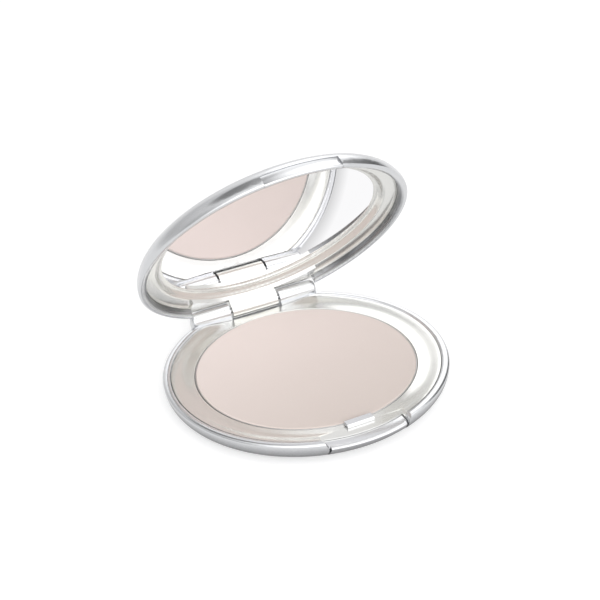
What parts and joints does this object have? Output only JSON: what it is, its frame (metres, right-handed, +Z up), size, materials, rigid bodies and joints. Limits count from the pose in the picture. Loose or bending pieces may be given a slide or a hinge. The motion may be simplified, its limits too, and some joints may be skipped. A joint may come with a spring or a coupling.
{
  "type": "powder compact",
  "caption": "Round hinged powder compact with satin silver plastic case, pressed powder pan, recessed lid mirror and front push button, modelled open",
  "frame": {"origin": "centre of the base's flat resting face, directly under the centre of the round base", "axes": "+Z is up out of the resting face, -Y is the front with the button, +Y is the hinge side, +X is to the right seen from the front"},
  "size_m": [0.076, 0.0756, 0.0672],
  "materials": {
    "silver_case": "satin metallised silver plastic",
    "silver_insert": "polished metallised silver plastic",
    "silver_button": "polished metallised silver plastic",
    "pan_metal": "plain pressed sheet",
    "powder": "matte pressed powder",
    "adhesive": "tacky film",
    "label_paper": "blank matte paper",
    "pin_steel": "plain ground steel",
    "spring_steel": "plain wire",
    "mirror_glass": "flat polished mirror",
    "mirror_backing": "protective paint over the silvering"
  },
  "bodies": {
    "base": {"base_shell": "silver_case", "base_tray": "silver_insert", "powder_pan": "pan_metal", "powder_cake": "powder", "pan_adhesive": "adhesive", "base_label": "label_paper", "hinge_pin": "pin_steel", "button_spring_left": "spring_steel", "button_spring_right": "spring_steel"},
    "button": {"latch_button": "silver_button"},
    "lid": {"lid_shell": "silver_case", "lid_frame": "silver_insert", "lid_tongue": "silver_button", "mirror_glass": "mirror_glass", "mirror_backing": "mirror_backing", "mirror_adhesive": "adhesive"}
  },
  "joints": [
    {"name": "lid_hinge", "type": "hinge", "parent": "base", "child": "lid", "pos_m": [0, 0.035, 0.0077], "axis": [-1, 0, 0], "range_deg": [-52.6, 67.4]},
    {"name": "button_press", "type": "slide", "parent": "base", "child": "button", "axis": [0, 1, 0], "range_m": [0, 0.0006], "stiffness_N_per_m": 600, "springref_m": -0.0004, "deforming": ["button_spring_left", "button_spring_right"]}
  ]
}
